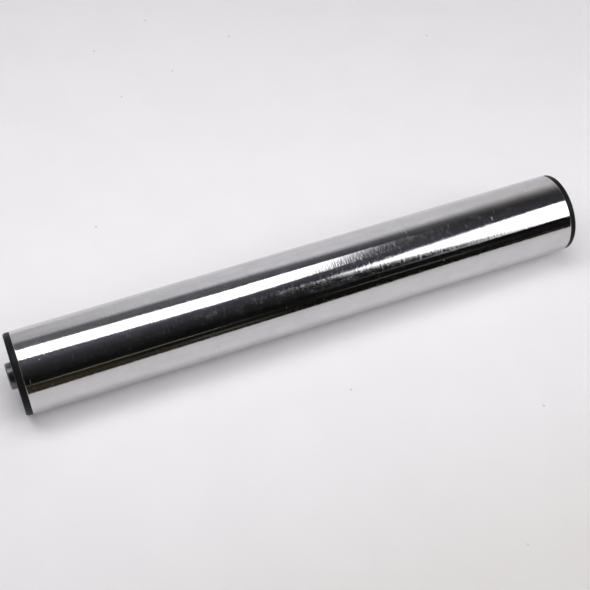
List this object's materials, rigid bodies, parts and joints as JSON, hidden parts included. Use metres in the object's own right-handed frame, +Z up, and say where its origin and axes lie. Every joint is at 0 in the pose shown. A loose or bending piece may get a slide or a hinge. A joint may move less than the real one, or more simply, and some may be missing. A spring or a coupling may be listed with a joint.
{
  "type": "conveyor roller",
  "caption": "Plated steel conveyor roller tube turning on ball bearings in black end caps, on a fixed shaft with a tapped hole in each end.",
  "frame": {"origin": "centre of the roller, on the shaft's axis and midway between its ends", "axes": "+X along the shaft towards the right end, +Z up"},
  "size_m": [0.2766, 0.038, 0.038],
  "materials": {
    "plated_steel": "bright zinc or chrome plate, fine lengthways and round-the-tube polishing marks",
    "shaft_steel": "dark drawn steel, turned ends",
    "cap_plastic": "black moulded polyamide, satin",
    "seal_plastic": "black moulded plastic",
    "bearing_steel": "ground bearing steel",
    "ball_steel": "polished bearing steel",
    "cage_nylon": "natural polyamide",
    "shield_steel": "pressed sheet steel",
    "spring_steel": "phosphated spring steel"
  },
  "bodies": {
    "fixed_shaft": {"shaft": "shaft_steel", "left_seal": "seal_plastic", "left_inner_ring": "bearing_steel", "left_circlip": "spring_steel", "right_seal": "seal_plastic", "right_inner_ring": "bearing_steel", "right_circlip": "spring_steel"},
    "roller_tube": {"tube": "plated_steel", "left_end_cap": "cap_plastic", "left_outer_ring": "bearing_steel", "left_outer_shield": "shield_steel", "left_inner_shield": "shield_steel", "right_end_cap": "cap_plastic", "right_outer_ring": "bearing_steel", "right_outer_shield": "shield_steel", "right_inner_shield": "shield_steel"},
    "left_cage_ring": {"left_ball_cage": "cage_nylon"},
    "left_rolling_ball_1": {"left_ball_1": "ball_steel"},
    "left_rolling_ball_2": {"left_ball_2": "ball_steel"},
    "left_rolling_ball_3": {"left_ball_3": "ball_steel"},
    "left_rolling_ball_4": {"left_ball_4": "ball_steel"},
    "left_rolling_ball_5": {"left_ball_5": "ball_steel"},
    "left_rolling_ball_6": {"left_ball_6": "ball_steel"},
    "left_rolling_ball_7": {"left_ball_7": "ball_steel"},
    "left_rolling_ball_8": {"left_ball_8": "ball_steel"},
    "right_cage_ring": {"right_ball_cage": "cage_nylon"},
    "right_rolling_ball_1": {"right_ball_1": "ball_steel"},
    "right_rolling_ball_2": {"right_ball_2": "ball_steel"},
    "right_rolling_ball_3": {"right_ball_3": "ball_steel"},
    "right_rolling_ball_4": {"right_ball_4": "ball_steel"},
    "right_rolling_ball_5": {"right_ball_5": "ball_steel"},
    "right_rolling_ball_6": {"right_ball_6": "ball_steel"},
    "right_rolling_ball_7": {"right_ball_7": "ball_steel"},
    "right_rolling_ball_8": {"right_ball_8": "ball_steel"}
  },
  "joints": [
    {"name": "tube_spin", "type": "hinge", "parent": "fixed_shaft", "child": "roller_tube", "pos_m": [0, 0, 0], "axis": [1, 0, 0], "continuous": true},
    {"name": "left_cage_orbit", "type": "hinge", "parent": "fixed_shaft", "child": "left_cage_ring", "pos_m": [-0.126, 0, 0], "axis": [1, 0, 0], "continuous": true},
    {"name": "left_ball_1_roll", "type": "hinge", "parent": "left_cage_ring", "child": "left_rolling_ball_1", "pos_m": [-0.126, 0, -0.01], "axis": [1, 0, 0], "continuous": true},
    {"name": "left_ball_2_roll", "type": "hinge", "parent": "left_cage_ring", "child": "left_rolling_ball_2", "pos_m": [-0.126, 0.00707, -0.00707], "axis": [1, 0, 0], "continuous": true},
    {"name": "left_ball_3_roll", "type": "hinge", "parent": "left_cage_ring", "child": "left_rolling_ball_3", "pos_m": [-0.126, 0.01, 0], "axis": [1, 0, 0], "continuous": true},
    {"name": "left_ball_4_roll", "type": "hinge", "parent": "left_cage_ring", "child": "left_rolling_ball_4", "pos_m": [-0.126, 0.00707, 0.00707], "axis": [1, 0, 0], "continuous": true},
    {"name": "left_ball_5_roll", "type": "hinge", "parent": "left_cage_ring", "child": "left_rolling_ball_5", "pos_m": [-0.126, 0, 0.01], "axis": [1, 0, 0], "continuous": true},
    {"name": "left_ball_6_roll", "type": "hinge", "parent": "left_cage_ring", "child": "left_rolling_ball_6", "pos_m": [-0.126, -0.00707, 0.00707], "axis": [1, 0, 0], "continuous": true},
    {"name": "left_ball_7_roll", "type": "hinge", "parent": "left_cage_ring", "child": "left_rolling_ball_7", "pos_m": [-0.126, -0.01, 0], "axis": [1, 0, 0], "continuous": true},
    {"name": "left_ball_8_roll", "type": "hinge", "parent": "left_cage_ring", "child": "left_rolling_ball_8", "pos_m": [-0.126, -0.00707, -0.00707], "axis": [1, 0, 0], "continuous": true},
    {"name": "right_cage_orbit", "type": "hinge", "parent": "fixed_shaft", "child": "right_cage_ring", "pos_m": [0.126, 0, 0], "axis": [1, 0, 0], "continuous": true},
    {"name": "right_ball_1_roll", "type": "hinge", "parent": "right_cage_ring", "child": "right_rolling_ball_1", "pos_m": [0.126, 0, -0.01], "axis": [1, 0, 0], "continuous": true},
    {"name": "right_ball_2_roll", "type": "hinge", "parent": "right_cage_ring", "child": "right_rolling_ball_2", "pos_m": [0.126, 0.00707, -0.00707], "axis": [1, 0, 0], "continuous": true},
    {"name": "right_ball_3_roll", "type": "hinge", "parent": "right_cage_ring", "child": "right_rolling_ball_3", "pos_m": [0.126, 0.01, 0], "axis": [1, 0, 0], "continuous": true},
    {"name": "right_ball_4_roll", "type": "hinge", "parent": "right_cage_ring", "child": "right_rolling_ball_4", "pos_m": [0.126, 0.00707, 0.00707], "axis": [1, 0, 0], "continuous": true},
    {"name": "right_ball_5_roll", "type": "hinge", "parent": "right_cage_ring", "child": "right_rolling_ball_5", "pos_m": [0.126, 0, 0.01], "axis": [1, 0, 0], "continuous": true},
    {"name": "right_ball_6_roll", "type": "hinge", "parent": "right_cage_ring", "child": "right_rolling_ball_6", "pos_m": [0.126, -0.00707, 0.00707], "axis": [1, 0, 0], "continuous": true},
    {"name": "right_ball_7_roll", "type": "hinge", "parent": "right_cage_ring", "child": "right_rolling_ball_7", "pos_m": [0.126, -0.01, 0], "axis": [1, 0, 0], "continuous": true},
    {"name": "right_ball_8_roll", "type": "hinge", "parent": "right_cage_ring", "child": "right_rolling_ball_8", "pos_m": [0.126, -0.00707, -0.00707], "axis": [1, 0, 0], "continuous": true}
  ],
  "couplings": [
    {"joint": "left_cage_orbit", "follows": "tube_spin", "ratio": 0.61905},
    {"joint": "left_ball_1_roll", "follows": "tube_spin", "ratio": 1.9809},
    {"joint": "left_ball_2_roll", "follows": "tube_spin", "ratio": 1.9809},
    {"joint": "left_ball_3_roll", "follows": "tube_spin", "ratio": 1.9809},
    {"joint": "left_ball_4_roll", "follows": "tube_spin", "ratio": 1.9809},
    {"joint": "left_ball_5_roll", "follows": "tube_spin", "ratio": 1.9809},
    {"joint": "left_ball_6_roll", "follows": "tube_spin", "ratio": 1.9809},
    {"joint": "left_ball_7_roll", "follows": "tube_spin", "ratio": 1.9809},
    {"joint": "left_ball_8_roll", "follows": "tube_spin", "ratio": 1.9809},
    {"joint": "right_cage_orbit", "follows": "tube_spin", "ratio": 0.61905},
    {"joint": "right_ball_1_roll", "follows": "tube_spin", "ratio": 1.9809},
    {"joint": "right_ball_2_roll", "follows": "tube_spin", "ratio": 1.9809},
    {"joint": "right_ball_3_roll", "follows": "tube_spin", "ratio": 1.9809},
    {"joint": "right_ball_4_roll", "follows": "tube_spin", "ratio": 1.9809},
    {"joint": "right_ball_5_roll", "follows": "tube_spin", "ratio": 1.9809},
    {"joint": "right_ball_6_roll", "follows": "tube_spin", "ratio": 1.9809},
    {"joint": "right_ball_7_roll", "follows": "tube_spin", "ratio": 1.9809},
    {"joint": "right_ball_8_roll", "follows": "tube_spin", "ratio": 1.9809}
  ]
}
